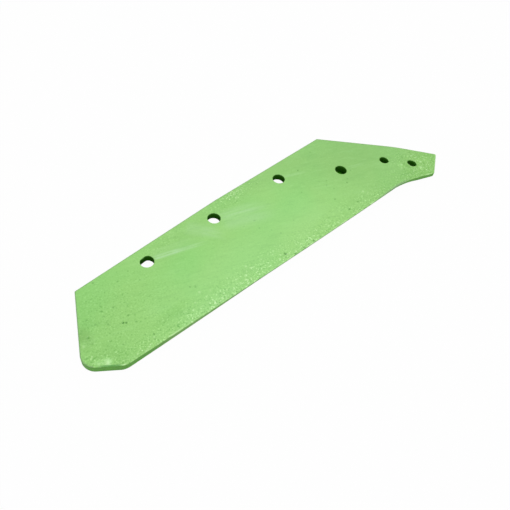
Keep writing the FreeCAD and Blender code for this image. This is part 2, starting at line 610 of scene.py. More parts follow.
@dataclass
class ShareSkin:
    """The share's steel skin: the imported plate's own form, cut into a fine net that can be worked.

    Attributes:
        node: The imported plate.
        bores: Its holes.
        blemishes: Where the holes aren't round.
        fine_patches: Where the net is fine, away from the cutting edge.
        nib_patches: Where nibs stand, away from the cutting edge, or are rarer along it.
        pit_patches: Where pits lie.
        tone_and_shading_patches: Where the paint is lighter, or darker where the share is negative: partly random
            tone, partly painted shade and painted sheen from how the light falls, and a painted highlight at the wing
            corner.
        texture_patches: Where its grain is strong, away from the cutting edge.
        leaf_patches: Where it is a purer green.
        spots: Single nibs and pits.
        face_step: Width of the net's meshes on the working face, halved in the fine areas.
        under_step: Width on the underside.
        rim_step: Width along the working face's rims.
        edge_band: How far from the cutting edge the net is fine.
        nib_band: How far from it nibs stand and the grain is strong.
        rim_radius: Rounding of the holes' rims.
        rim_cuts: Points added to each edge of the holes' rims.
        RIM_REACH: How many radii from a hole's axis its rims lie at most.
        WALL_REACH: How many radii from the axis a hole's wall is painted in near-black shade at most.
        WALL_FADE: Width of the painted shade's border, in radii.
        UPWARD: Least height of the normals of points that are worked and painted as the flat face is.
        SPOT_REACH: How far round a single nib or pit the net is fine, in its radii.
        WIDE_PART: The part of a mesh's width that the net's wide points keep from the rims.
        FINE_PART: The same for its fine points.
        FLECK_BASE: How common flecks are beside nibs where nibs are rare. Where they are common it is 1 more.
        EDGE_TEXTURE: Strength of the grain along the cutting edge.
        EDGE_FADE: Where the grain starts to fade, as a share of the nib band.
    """

    node: bpy.types.Object
    bores: Sequence[Bore]
    blemishes: Sequence[RimBlemish]
    fine_patches: Sequence[Patch]
    nib_patches: Sequence[Patch]
    pit_patches: Sequence[Patch]
    tone_and_shading_patches: Sequence[Patch]
    texture_patches: Sequence[Patch]
    leaf_patches: Sequence[Patch]
    spots: Sequence[Spot]
    face_step: float = 1.3 * MM
    under_step: float = 3.6 * MM
    rim_step: float = 0.9 * MM
    edge_band: float = 20.0 * MM
    nib_band: float = 24.0 * MM
    rim_radius: float = 0.35 * MM
    rim_cuts: int = 1

    RIM_REACH = 1.03
    WALL_REACH = 1.15
    WALL_FADE = 0.05
    UPWARD = 0.3
    SPOT_REACH = 1.6
    WIDE_PART = 3
    FINE_PART = 5
    FLECK_BASE = 0.4
    EDGE_TEXTURE = 1.5
    EDGE_FADE = 0.1

    def build(self) -> bpy.types.Object:
        """Cut the net, spoil the holes and mark the points.

        Returns:
            The skin as an object of its own, at the origin.
        """
        bm = bmesh.new()
        bm.from_mesh(self.node.data)
        bmesh.ops.remove_doubles(bm, verts=bm.verts, dist=WELD_GAP)
        SideFinder().sort(bm)
        gauge = Gauge(bm, self.bores)
        self._round_bores(bm)
        self._split_rims(bm)
        bm.verts.index_update()
        walls = self._in_order([face for face in bm.faces if side_of(face) == Side.WALL])
        top_points, top = self._tile(bm, Side.WORKING, self.face_step, gauge)
        under_points, under = self._tile(bm, Side.UNDER, self.under_step, gauge)
        shift = len(top_points)
        first = len(bm.verts)
        under = [tuple(index + shift if index >= first else index for index in face) for face in under]
        corners = [vert.co.copy() for vert in bm.verts] + top_points + under_points
        bm.free()
        mesh = bpy.data.meshes.new("share_skin")
        mesh.from_pydata(corners, [], [*walls, *top, *under])
        self._drop_spare_points(mesh)
        self._spoil_bores(mesh)
        self._mark_points(mesh, gauge)
        return show(SHARE_NODE + "_skin", mesh)

    @staticmethod
    def _drop_spare_points(mesh: bpy.types.Mesh) -> None:
        """Take away the points that no face uses any more.

        Args:
            mesh: The skin's mesh.
        """
        bm = bmesh.new()
        bm.from_mesh(mesh)
        spare = [vert for vert in bm.verts if not vert.link_faces]
        bmesh.ops.delete(bm, geom=spare, context="VERTS")
        bm.to_mesh(mesh)
        bm.free()

    def _is_bore_rim(self, edge: bmesh.types.BMEdge) -> bool:
        """Tell the holes' rims from other edges.

        Args:
            edge: An edge of the plate.

        Returns:
            Whether it parts a hole's wall from a face of the plate.
        """
        sides = {side_of(face) for face in edge.link_faces}
        ends = np.array([vert.co for vert in edge.verts])
        return Side.WALL in sides and len(sides) > 1 and any(bore.holds(ends, self.RIM_REACH) for bore in self.bores)

    def _round_bores(self, bm: bmesh.types.BMesh) -> None:
        """Give the holes more points all round, set them on the true circle and round the rims.

        Args:
            bm: The plate.
        """
        rims = [edge for edge in bm.edges if self._is_bore_rim(edge)]
        cut = bmesh.ops.subdivide_edges(bm, edges=rims, cuts=self.rim_cuts)
        for vert in (item for item in cut["geom_inner"] if isinstance(item, bmesh.types.BMVert)):
            row = np.array([vert.co])
            for bore in (bore for bore in self.bores if bore.holds(row, self.RIM_REACH)):
                flat, away = bore.around(row)
                vert.co += Vector(flat[0] * (bore.radius / away[0] - 1.0))
        bmesh.ops.triangulate(bm, faces=[face for face in bm.faces if len(face.verts) > 4])
        bmesh.ops.bevel(
            bm,
            geom=[edge for edge in bm.edges if self._is_bore_rim(edge)],
            offset=self.rim_radius,
            segments=2,
            profile=0.5,
            affect="EDGES",
            offset_type="OFFSET",
            material=Side.WALL,
        )

    def _split_rims(self, bm: bmesh.types.BMesh) -> None:
        """Cut the long edges of the outer rims into short ones, each joined to its wall triangle's far corner.

        Args:
            bm: The plate.
        """
        bmesh.ops.triangulate(bm, faces=bm.faces)
        steps = {Side.WORKING: self.rim_step, Side.UNDER: self.under_step}
        for side, step in steps.items():
            for edge in [edge for edge in bm.edges if {side, Side.WALL} == {side_of(f) for f in edge.link_faces}]:
                corner, end = edge.verts
                far = next(vert for vert in self._wall_of(edge).verts if vert not in edge.verts)
                for parts in range(math.ceil(edge.calc_length() / step), 1, -1):
                    corner = bmesh.utils.edge_split(edge, corner, 1.0 / parts)[1]
                    edge = next(part for part in corner.link_edges if end in part.verts)
                    bmesh.utils.face_split(self._wall_of(edge), corner, far)

    @staticmethod
    def _wall_of(edge: bmesh.types.BMEdge) -> bmesh.types.BMFace:
        """The wall's face at an edge of a rim."""
        return next(face for face in edge.link_faces if side_of(face) == Side.WALL)

    def _in_order(self, walls: Sequence[bmesh.types.BMFace]) -> List[List[int]]:
        """Number the walls' corners and sort the holes' faces, whose order isn't the same after each bevel.

        Args:
            walls: The faces.

        Returns:
            Each face's corners by number.
        """
        numbers = [[vert.index for vert in face.verts] for face in walls]
        corners = [np.array([vert.co for vert in face.verts]) for face in walls]
        holes = [place for place, row in enumerate(corners) if any(b.holds(row, self.WALL_REACH) for b in self.bores)]
        for place, face in zip(holes, sorted(numbers[place] for place in holes)):
            numbers[place] = face
        return numbers

    @staticmethod
    def _lattice(bm: bmesh.types.BMesh, step: float) -> np.ndarray:
        """Points of a triangular lattice over the whole plan.

        Args:
            bm: The plate.
            step: Distance between neighbours.

        Returns:
            Rows of x, y and whether the point is also one of the lattice twice as wide.
        """
        plan = np.array([vert.co[:2] for vert in bm.verts])
        low, high = plan.min(0), plan.max(0)
        row_height = step * math.sqrt(3.0) / 2.0
        rows = np.arange(math.floor((high[1] - low[1]) / row_height) + 1)
        columns = np.arange(math.floor((high[0] - low[0]) / step) + 1)
        column, row = np.meshgrid(columns, rows)
        x = low[0] + (column + 0.5 * (row % 2)) * step
        y = low[1] + row * row_height
        shifted = np.where(row % 4 == 2, column % 2 == 1, column % 2 == 0)
        wide = (row % 2 == 0) & shifted
        return np.column_stack([x.ravel(), y.ravel(), wide.ravel()])

    def _tile(
        self, bm: bmesh.types.BMesh, side: Side, step: float, gauge: Gauge
    ) -> Tuple[List[Vector], List[Tuple[int, ...]]]:
        """Lay a net of small triangles over one side of the plate, between its rims.

        Args:
            bm: The plate, its vertices numbered.
            side: The side to cover.
            step: Width of the net's meshes where it is widest.
            gauge: The plate's rims.

        Returns:
            The net's own points, and its triangles by number, where numbers past the plate's
            own vertices count the net's points.
        """
        faces = [[vert.index for vert in face.verts] for face in bm.faces if side_of(face) == side]
        cover = BVHTree.FromPolygons([vert.co for vert in bm.verts], faces)
        border = [edge for edge in bm.edges if self._is_border(edge, side)]
        kept = sorted({vert.index for edge in border for vert in edge.verts})
        number = {index: place for place, index in enumerate(kept)}
        bm.verts.ensure_lookup_table()
        above = 1.0 if side == Side.WORKING else -1.0
        lattice = self._lattice(bm, step / 2)
        fine = self._are_fine(lattice, gauge) & (side == Side.WORKING)
        points: List[Vector] = []
        for x, y, wide in lattice[fine | (lattice[:, 2] > 0.5)]:
            clear = step / (self.WIDE_PART if wide else self.FINE_PART)
            if gauge.rim_gap((x, y)) < clear or self._bore_gap(x, y) < clear:
                continue
            hit = cover.ray_cast(Vector((x, y, above)), Vector((0.0, 0.0, -above)))[0]
            if hit is not None:
                points.append(hit)
        plan = [bm.verts[index].co.to_2d() for index in kept] + [point.to_2d() for point in points]
        lines = [tuple(number[vert.index] for vert in edge.verts) for edge in border]
        _, _, laid, origins, _, _ = delaunay_2d_cdt(plan, lines, [], 0, WELD_GAP)
        corners = [tuple(origins[corner][0] for corner in triangle) for triangle in laid]
        rims = {frozenset(line) for line, edge in zip(lines, border) if not edge.seam}
        first = len(bm.verts)
        triangles: List[Tuple[int, ...]] = []
        for places in self._within(corners, rims, len(kept)):
            named = [kept[place] if place < len(kept) else first + place - len(kept) for place in places]
            triangles.append(tuple(named if side == Side.WORKING else reversed(named)))
        return points, triangles

    @staticmethod
    def _within(
        triangles: Sequence[Tuple[int, ...]], rims: Set[FrozenSet[int]], first_inner: int
    ) -> List[Tuple[int, ...]]:
        """The triangles that can be reached from the net's own points without crossing a rim.

        Args:
            triangles: All triangles, by their corners' numbers.
            rims: The edges that aren't crossed.
            first_inner: Number of the first point that surely lies inside.

        Returns:
            The triangles inside.
        """
        beside: Dict[FrozenSet[int], List[int]] = {}
        for place, triangle in enumerate(triangles):
            for turn in range(3):
                edge = frozenset((triangle[turn], triangle[turn - 1]))
                if edge not in rims:
                    beside.setdefault(edge, []).append(place)
        start = next(place for place, triangle in enumerate(triangles) if max(triangle) >= first_inner)
        reached = {start}
        open_ends = [start]
        while open_ends:
            triangle = triangles[open_ends.pop()]
            for turn in range(3):
                for place in beside.get(frozenset((triangle[turn], triangle[turn - 1])), ()):
                    if place not in reached:
                        reached.add(place)
                        open_ends.append(place)
        return [triangles[place] for place in sorted(reached)]

    @staticmethod
    def _is_border(edge: bmesh.types.BMEdge, side: Side) -> bool:
        """Whether an edge is on a side's border, or is a crease of the underside."""
        count = [side_of(face) for face in edge.link_faces].count(side)
        return count == 1 or (side == Side.UNDER and edge.seam and count == 2)

    def _are_fine(self, lattice: np.ndarray, gauge: Gauge) -> np.ndarray:
        """Find where the net of the working face is fine.

        Args:
            lattice: Rows that start with x and y.
            gauge: The plate's rims.

        Returns:
            Whether it is fine at each place.
        """
        fine = np.array([gauge.edge_gap(place) < self.edge_band for place in lattice])
        for patch in self.fine_patches:
            fine |= patch.weigh(lattice) > 0.0
        for spot in self.spots:
            fine |= np.hypot(lattice[:, 0] - spot.x, lattice[:, 1] - spot.y) < self.SPOT_REACH * spot.radius
        return fine

    def _bore_gap(self, x: float, y: float) -> float:
        """Distance in plan from the nearest hole's rim."""
        places = ((x - bore.centre.x, y - bore.centre.y, bore.radius) for bore in self.bores)
        return min(math.hypot(right, back) - radius - self.rim_radius for right, back, radius in places)

    def _spoil_bores(self, mesh: bpy.types.Mesh) -> None:
        """Push the holes' walls out or in where they aren't round.

        Args:
            mesh: The skin's mesh.
        """
        points = read_points(mesh)
        for blemish in self.blemishes:
            bore = next(bore for bore in self.bores if bore.name == blemish.bore)
            flat, away = bore.around(points)
            bearing = np.degrees(np.arctan2(flat[:, 1], flat[:, 0])) - blemish.bearing
            turn = (bearing + 180.0) % 360.0 - 180.0
            swell = np.exp(-((turn / blemish.spread) ** 2))
            fade = np.clip(1.0 - (away - bore.radius) / bore.radius, 0.0, 1.0) ** 2
            shift = blemish.reach * swell * fade
            points += flat / np.maximum(away, WELD_GAP)[:, None] * shift[:, None]
        move_points(mesh, points)

    def _bore_walls(self, points: np.ndarray) -> np.ndarray:
        """How much points belong to the holes' walls.

        Args:
            points: Rows of x, y, z.

        Returns:
            0 on the faces and at the holes' upper rims, and 1 on the walls below them.
        """
        deepest = np.zeros(len(points))
        for bore in self.bores:
            away = bore.around(points)[1]
            depth = (np.array(bore.centre) - points) @ np.array(bore.axis) + bore.depth / 2
            inside = np.clip((bore.radius * self.WALL_REACH - away) / (bore.radius * self.WALL_FADE), 0.0, 1.0)
            deepest = np.maximum(deepest, inside * np.clip(depth / (2 * self.rim_radius), 0.0, 1.0))
        return deepest

    @staticmethod
    def _most(patches: Sequence[Patch], points: np.ndarray, least: Any = 0.0) -> np.ndarray:
        """The largest share that any of the patches gives each point."""
        return reduce(np.maximum, [patch.weigh(points) for patch in patches], least)

    def _mark_points(self, mesh: bpy.types.Mesh, gauge: Gauge) -> None:
        """Keep each point's distances from the rims, and what stands or lies there, as attributes.

        Args:
            mesh: The skin's mesh.
            gauge: The plate's rims.
        """
        points = read_points(mesh)
        normals = np.zeros(points.size)
        mesh.vertex_normals.foreach_get("vector", normals)
        edge_gap = np.array([gauge.edge_gap(point) for point in points]) / MM
        rim_gap = np.array([gauge.rim_gap(point) for point in points]) / MM
        bore_wall = self._bore_walls(points)
        upward = (normals.reshape(-1, 3)[:, 2] > self.UPWARD) & (bore_wall < 0.5)
        bands = edge_gap * MM / self.nib_band
        nib_share = np.clip(1.0 - bands, 0.0, 1.0)
        for patch in self.nib_patches:
            nib_share = np.clip(nib_share + patch.weigh(points), 0.0, 1.0)
        edge_texture = self.EDGE_TEXTURE * np.clip(1.0 + self.EDGE_FADE - bands, 0.0, 1.0)
        values = {
            Mark.EDGE_GAP: edge_gap,
            Mark.RIM_GAP: rim_gap,
            Mark.BORE_WALL: bore_wall,
            Mark.WORKED: upward.astype(float),
            Mark.NIB_SHARE: nib_share * upward,
            Mark.PIT_SHARE: self._most(self.pit_patches, points) * upward,
            Mark.SPOT: sum(spot.form(points) for spot in self.spots) * upward,
            Mark.TONE: sum(patch.weigh(points) for patch in self.tone_and_shading_patches),
            Mark.TEXTURE: self._most(self.texture_patches, points, edge_texture),
            Mark.LEAF: self._most(self.leaf_patches, points),
            Mark.FLECKS: nib_share * (nib_share + self.FLECK_BASE),
        }
        for mark, numbers in values.items():
            attribute = mesh.attributes.new(mark.value, "FLOAT", "POINT")
            attribute.data.foreach_set("value", numbers.astype(np.float32))


@dataclass(frozen=True)
class ForgedFace:
    """The hot-rolled and hammered state of the skin: low swells, lumps along the cutting edge, nibs and pits.

    Attributes:
        swell_height: Height of the low swells all over the plate.
        swell_size: How far apart they are, in millimetres.
        lump_height: Height of the lumps along the cutting edge.
        lump_size: How far apart they are, in millimetres.
        lump_band: How far from the cutting edge they reach, in millimetres.
        lump_full: How far from it they keep their full height, in millimetres.
        nib_height: Height of the largest nib.
        nib_radius: Its radius.
        nib_density: Most nibs on a square metre.
        pit_depth: Depth of the deepest pit.
        pit_radius: Its radius.
        pit_density: Most pits on a square metre.
        still_rim: How far from the outer rims the relief has its full height, in millimetres.
        ragged_size: Size of what makes nibs and pits uneven, in millimetres.
        least_spot: Size of the smallest nib or pit, as a share of the largest.
        seed: Picks where nibs and pits are.
    """

    swell_height: float = 0.05 * MM
    swell_size: float = 38.0
    lump_height: float = 0.16 * MM
    lump_size: float = 4.5
    lump_band: float = 24.0
    lump_full: float = 2.0
    nib_height: float = 0.44 * MM
    nib_radius: float = 1.6 * MM
    nib_density: float = 42000.0
    pit_depth: float = 0.30 * MM
    pit_radius: float = 0.9 * MM
    pit_density: float = 14000.0
    still_rim: float = 1.4
    ragged_size: float = 1.4
    least_spot: float = 0.35
    seed: int = 11

    def apply(self, skin: bpy.types.Object, finish: bpy.types.Material) -> None:
        """Work the skin and keep the result as its plain mesh.

        Args:
            skin: The object whose mesh is worked.
            finish: The material that it gets.
        """
        modifier = skin.modifiers.new("forged_face", "NODES")
        modifier.node_group = self._tree(finish)
        sizes = self._sizes()
        for socket in modifier.node_group.interface.items_tree:
            if socket.name in sizes:
                modifier[socket.identifier] = sizes[socket.name]
        depsgraph = bpy.context.evaluated_depsgraph_get()
        worked = bpy.data.meshes.new_from_object(
            skin.evaluated_get(depsgraph), preserve_all_data_layers=True, depsgraph=depsgraph
        )
        skin.modifiers.clear()
        skin.data = worked
        move_points(worked, np.clip(read_points(worked), *CAD_BOX))

    def _sizes(self) -> Dict[str, float]:
        """List the tree's inputs.

        Returns:
            Their values, by name.
        """
        return {
            "Swell Height": self.swell_height,
            "Lump Height": self.lump_height,
            "Nib Height": self.nib_height,
            "Nib Radius": self.nib_radius,
            "Nib Density": self.nib_density,
            "Pit Height": self.pit_depth,
            "Pit Radius": self.pit_radius,
            "Pit Density": self.pit_density,
        }

    def _tree(self, finish: bpy.types.Material) -> bpy.types.NodeTree:
        """The geometry nodes that work the skin.

        Args:
            finish: The material that the tree sets.

        Returns:
            The node group.
        """
        group = bpy.data.node_groups.new("forged_face", "GeometryNodeTree")
        group.interface.new_socket("Skin", in_out="INPUT", socket_type="NodeSocketGeometry")
        for name in self._sizes():
            group.interface.new_socket(name, in_out="INPUT", socket_type="NodeSocketFloat")
        group.interface.new_socket("Skin", in_out="OUTPUT", socket_type="NodeSocketGeometry")
        graph = Graph(group)
        given = graph.node("NodeGroupInput")
        skin = given.other("Skin")
        in_mm = graph.in_mm(graph.node("GeometryNodeInputPosition"))
        worked = graph.mark(Mark.WORKED)
        swell = (graph.noise(in_mm, self.swell_size, 1.0) - 0.5) * 2.0 * given.other("Swell Height")
        lumps = (graph.noise(in_mm, self.lump_size, 3.0, 0.6) - 0.5) * 2.0 * given.other("Lump Height")
        band = graph.mark(Mark.EDGE_GAP).rise(self.lump_band, self.lump_full)
        inner = graph.mark(Mark.RIM_GAP).rise(0.0, self.still_rim)
        nib, nib_form = self._spots(graph, Mark.NIB_SHARE, given, "Nib", self.seed)
        pit, pit_form = self._spots(graph, Mark.PIT_SHARE, given, "Pit", self.seed + 1)
        single = graph.mark(Mark.SPOT) * MM
        rise = (swell + lumps * band + nib * worked - pit * worked + single) * inner
        rise = rise * (1.0 - graph.mark(Mark.BORE_WALL))
        offset = {0: graph.node("GeometryNodeInputNormal"), "Scale": rise}
        lifted = graph.node("ShaderNodeVectorMath", {"operation": "SCALE"}, offset)
        moved = graph.node("GeometryNodeSetPosition", values={"Geometry": skin, "Offset": lifted})
        for mark, form in ((Mark.NIB, nib_form), (Mark.PIT, pit_form)):
            moved = graph.node(
                "GeometryNodeStoreNamedAttribute",
                {"data_type": "FLOAT", "domain": "POINT"},
                {"Geometry": moved, "Name": mark.value, "Value": form * worked},
            )
        real = graph.node("GeometryNodeRealizeInstances", values={"Geometry": moved})
        dressed = graph.node("GeometryNodeSetMaterial", values={"Geometry": real, "Material": finish})
        graph.end("NodeGroupOutput", "Skin", dressed)
        return group

    def _spots(self, graph: Graph, share: Mark, given: Wire, name: str, seed: int) -> Tuple[Wire, Wire]:
        """Scatter round spots over the skin and give each a smooth dome.

        Args:
            graph: The tree.
            share: The mark that says where they are common.
            given: The tree's inputs.
            name: First word of the spots' inputs.
            seed: Picks where they are.

        Returns:
            The height of the spots at each point of the skin, and their form from 0 to 1.
        """
        points = graph.node(
            "GeometryNodeDistributePointsOnFaces",
            {"distribute_method": "RANDOM"},
            {"Mesh": given.other("Skin"), "Density": graph.mark(share) * given.other(f"{name} Density"), "Seed": seed},
        )
        nearest = graph.node("GeometryNodeSampleNearest", {"domain": "POINT"}, {"Geometry": points})
        place = graph.node("GeometryNodeInputPosition")
        found = graph.node(
            "GeometryNodeSampleIndex",
            {"data_type": "FLOAT_VECTOR", "domain": "POINT"},
            {"Geometry": points, "Value": place, "Index": nearest},
        )
        luck = graph.node("FunctionNodeRandomValue", {"data_type": "FLOAT"}, {"ID": nearest, "Seed": seed}, 1)
        ragged = graph.noise(graph.in_mm(place), self.ragged_size) * 1.2 + 0.4
        size = self.least_spot + luck * luck * (1.0 - self.least_spot)
        gap = graph.distance(place, found) * ragged / (size * given.other(f"{name} Radius"))
        dome = (1.0 - gap * gap).clamp()
        form = dome * dome
        return form * size * given.other(f"{name} Height"), form


@dataclass(frozen=True)
class PaintRun:
    """A pale streak left in the enamel as it ran off while the share hung, its extra gloss painted into the colour as
    painted sheen.

    Attributes:
        start: Where it begins, in plan.
        bearing: The way it ran, in degrees from +X towards +Y.
        length: How far it ran.
        width: How wide it is.
        strength: How pale it is, from 0 to 1, or how dark where it is negative.
        DRAWN: How fast the noise of its strands runs along it, against across it.
        APART: Distance between two runs' places in the noise, in millimetres.
    """

    start: Tuple[float, float]
    bearing: float
    length: float
    width: float
    strength: float

    DRAWN = 0.05
    APART = 7.0

    def paleness(self, graph: Graph, in_mm: Wire, number: int) -> Wire:
        """How pale it makes each place.

        Args:
            graph: The tree.
            in_mm: The place, in millimetres.
            number: Its number among the runs, so that no two are ragged alike.

        Returns:
            A value from 0 to its strength.
        """
        away = graph.vector("SUBTRACT", in_mm, (self.start[0] / MM, self.start[1] / MM, 0.0))
        along, across = graph.turned(away, self.bearing)
        length, width = self.length / MM, self.width / MM
        values = {0: along * self.DRAWN, 1: across, 2: number * self.APART}
        strands = graph.node("ShaderNodeCombineXYZ", values=values)
        ragged = graph.noise(strands, max(width * 0.35, 1.4), 2.0, 0.6).rise(0.30, 0.62)
        body = graph.math("ABSOLUTE", across).rise(width * 0.62, width * 0.15)
        span = along.rise(-0.08 * length, 0.12 * length) * along.rise(length, 0.45 * length)
        return body * span * ragged * self.strength


@dataclass(frozen=True)
class GreenEnamel:
    """Light green gloss enamel over rolled steel, with painted highlights and painted shade along the rims, painted
    near-black shade inside the bores, and painted sheen and shade across the flat face.

    A span gives where a stretch of the plate begins, is full, starts to end and is over, in millimetres along X.

    Attributes:
        body: The paint's own colour.
        warm: Where it lies thick.
        leaf: Where it is a purer green.
        shade: Painted shade where the flat face is darkest, as the light falls off towards the ends, and darker tone
            in patches.
        milky: Where the flat face is lightest: painted sheen where more light is reflected, a painted highlight at the
            wing corner, and paler tone at random.
        film: In the pale runs, their extra gloss painted into the colour as painted sheen.
        cut: On the walls of the outline.
        deep: In hollows and pits, and as painted shade on the lip of the clipped corner.
        pale: Where the paint stands up.
        glint: Painted highlight on nibs and flecks and along the rim of the cutting edge.
        dull: Painted shade along the rims of the back and the ends, and in the throat; also mottles the walls.
        worn: On the cutting edge's land, off the wing corner.
        painted_land_shade: Painted shade on the same land where it is thinnest.
        bore: Painted shade inside the bores, where little light reaches; also darkens the single pits.
        roughness: Of the flat face.
        coat: Weight of the clear top.
        coat_roughness: The clear top's own roughness.
        grain_size: Size of the paint's grain, in millimetres.
        rolling: Direction in which the plate was rolled, in degrees from +X towards +Y.
        drawn: How fast the noise of the rolled streaks runs along them, against across them.
        bump_height: Height of the grain.
        throat: Span of the throat, where the land stands higher and the face's rim gets painted shade.
        clipped: Span of the clipped wing corner's lip, which gets painted shade.
        thin: Span of the worn land.
        thinnest: Span of the land that gets painted shade.
    """

    body: Colour = (0.226, 0.588, 0.112)
    warm: Colour = (0.258, 0.596, 0.120)
    leaf: Colour = (0.150, 0.590, 0.085)
    shade: Colour = (0.170, 0.445, 0.065)
    milky: Colour = (0.370, 0.740, 0.245)
    film: Colour = (0.355, 0.655, 0.275)
    cut: Colour = (0.175, 0.540, 0.075)
    deep: Colour = (0.045, 0.290, 0.012)
    pale: Colour = (0.480, 0.900, 0.310)
    glint: Colour = (0.600, 0.930, 0.420)
    dull: Colour = (0.170, 0.330, 0.120)
    worn: Colour = (0.260, 0.540, 0.150)
    painted_land_shade: Colour = (0.060, 0.130, 0.035)
    bore: Colour = (0.019, 0.125, 0.002)
    roughness: float = 0.42
    coat: float = 0.5
    coat_roughness: float = 0.25
    grain_size: float = 1.7
    rolling: float = -24.0
    drawn: float = 0.24
    bump_height: float = 0.10 * MM
    throat: Span = (96.0, 138.0, 150.0, 172.0)
    clipped: Span = (-230.0, -225.0, -216.0, -212.0)
    thin: Span = (-195.0, -160.0, 90.0, 150.0)
    thinnest: Span = (-110.0, -60.0, 60.0, 160.0)

    def material(self, runs: Sequence[PaintRun]) -> bpy.types.Material:
        """Build the enamel.

        Args:
            runs: The streaks in it.

        Returns:
            The material.
        """
        made = bpy.data.materials.new("green_enamel_paint")
        EnamelCoat(self, Graph.fresh(made), runs).close()
        return made


class EnamelCoat:
    """The enamel's nodes, on the flat face, the outline's walls and the bores.

    Attributes:
        look: The enamel's colours and sizes.
        graph: The material's tree.
        in_mm: Each place, in millimetres.
        along: The same along X alone.
        edge_gap: Distance from the cutting edge, in millimetres.
        rim_gap: Distance from the nearest outer rim, in millimetres.
        grain: The paint's fine grain.
        rolled: Each place, drawn together along the rolling direction, so that noise on it is streaky.
        lines: The rolled plate's streaks.
        texture: How strong the grain is.
        streaks: How pale the runs make it.
        bump: The grain's relief.
    """

    def __init__(self, look: GreenEnamel, graph: Graph, runs: Sequence[PaintRun]) -> None:
        """Lay out what the layers share.

        Args:
            look: The enamel's colours and sizes.
            graph: The material's empty tree.
            runs: The streaks.
        """
        self.look = look
        self.graph = graph
        self.in_mm = in_mm = graph.in_mm(graph.node("ShaderNodeTexCoord", output="Object"))
        self.along = graph.dot(in_mm, (1.0, 0.0, 0.0))
        self.edge_gap = graph.mark(Mark.EDGE_GAP)
        self.rim_gap = graph.mark(Mark.RIM_GAP)
        self.grain = graph.noise(in_mm, look.grain_size, 3.0, 0.65)
        along, across = graph.turned(in_mm, look.rolling)
        self.rolled = graph.node("ShaderNodeCombineXYZ", values={0: along * look.drawn, 1: across})
        self.lines = graph.noise(self.rolled, 3.2, 3.0, 0.6)
        cluster = graph.noise(in_mm, 9.0, 2.0, 0.5).rise(0.38, 0.62)
        self.texture = graph.mark(Mark.TEXTURE) * (cluster * 0.9 + 0.45)
        self.streaks: Number = 0.0
        for number, run in enumerate(runs):
            self.streaks = run.paleness(graph, in_mm, number) + self.streaks
        fine = graph.noise(in_mm, 0.7, 2.0)
        height = (self.grain + fine * 0.4 + self.lines * 0.3) * (self.texture * 0.8 + 0.2)
        relief = {"Strength": 1.0, "Distance": look.bump_height, "Height": height}
        self.bump = graph.node("ShaderNodeBump", values=relief)

    def close(self) -> None:
        """Join the painted face, the outline's walls and the bores, painted near-black as painted shade, into the
        finished surface.
        """
        graph = self.graph
        wall = (1.0 - graph.mark(Mark.WORKED)).clamp()
        outside = graph.blend(wall, self._face(), self._wall())
        in_bore = graph.mark(Mark.BORE_WALL).rise(0.15, 0.7)
        # The bores' walls get painted shade: near-black, as little light reaches inside them.
        painted_bore_shade = graph.principled({"Base Color": self.look.bore, "Roughness": 0.9, "Specular IOR Level": 0.05})
        graph.end("ShaderNodeOutputMaterial", "Surface", graph.blend(in_bore, outside, painted_bore_shade))

    def _stretch(self, span: Span) -> Wire:
        """1 along a span and 0 beyond it."""
        return self.along.rise(span[0], span[1]) * self.along.rise(span[3], span[2])

    def _film(self) -> Wire:
        """The paint before its grain: clouds, tones by place with painted sheen and painted shade, runs with painted
        sheen, and rolled streaks.

        Returns:
            Its colour.
        """
        graph, look, lines = self.graph, self.look, self.lines
        cloud = graph.noise(self.in_mm, 75.0, 2.0, 0.5)
        blotch = graph.noise(self.rolled, 11.0, 3.0, 0.55)
        tone = graph.mark(Mark.TONE)
        return graph.layers(
            look.body,
            (cloud.rise(0.35, 0.65), look.warm),
            (graph.mark(Mark.LEAF), look.leaf),
            # Tone: partly random tone, partly painted shade where the light falls off and painted sheen in the middle
            # and at the wing corner.
            ((-tone).clamp(), look.shade),
            (tone.clamp(), look.milky),
            # Runs: pale paint runs, their extra gloss painted in as painted sheen.
            (self.streaks.clamp(), look.film),
            ((-self.streaks).clamp(), look.deep),
            (lines.rise(0.47, 0.26) * 0.11, look.deep),
            (lines.rise(0.53, 0.74) * 0.13, look.milky),
            (blotch.rise(0.46, 0.28) * 0.11, look.deep),
            (blotch.rise(0.54, 0.72) * 0.12, look.milky),
        )

    def _rims(self, colour: Wire) -> Wire:
        """Lay a painted highlight along the cutting edge's rim, and painted shade in the throat, on the clipped
        corner's lip and along the other rims, over the face's colour.

        Args:
            colour: The face's colour.

        Returns:
            The colour with its rims.
        """
        look, rim_gap = self.look, self.rim_gap
        cutting_rim = self.edge_gap.rise(2.2, 1.5)
        broken = self.graph.noise(self.in_mm, 12.0, 3.0, 0.6).rise(0.48, 0.66) * 0.6 + 0.08
        throat = rim_gap.rise(1.8, 0.9) * cutting_rim * self._stretch(look.throat)
        clipped = rim_gap.rise(1.2, 1.0) * cutting_rim * self._stretch(look.clipped)
        return self.graph.layers(
            colour,
            # Painted highlight along the cutting edge's rim.
            (rim_gap.rise(1.5, 0.4) * cutting_rim * broken * (1.0 - throat), look.glint),
            # Painted shade in the throat and on the clipped lip, standing in for a higher land in shade.
            (throat * 0.85, look.dull),
            (clipped * 0.8, look.deep),
            # Painted shade along the rims of the back and the ends.
            (rim_gap.rise(1.0, 0.2) * (1.0 - cutting_rim) * 0.7, look.dull),
        )

    def _face(self) -> Wire:
        """The painted faces, with their grain, nibs, pits and flecks; nibs and flecks get a painted highlight.

        Returns:
            Their shader.
        """
        graph, look, grain = self.graph, self.look, self.grain
        spot = graph.mark(Mark.SPOT)
        pitted = graph.mark(Mark.PIT_SHARE)
        speck = graph.noise(self.in_mm, 1.1, 2.0, 0.6)
        bunched = graph.noise(self.in_mm, 7.0, 2.0, 0.6).rise(0.46, 0.60)
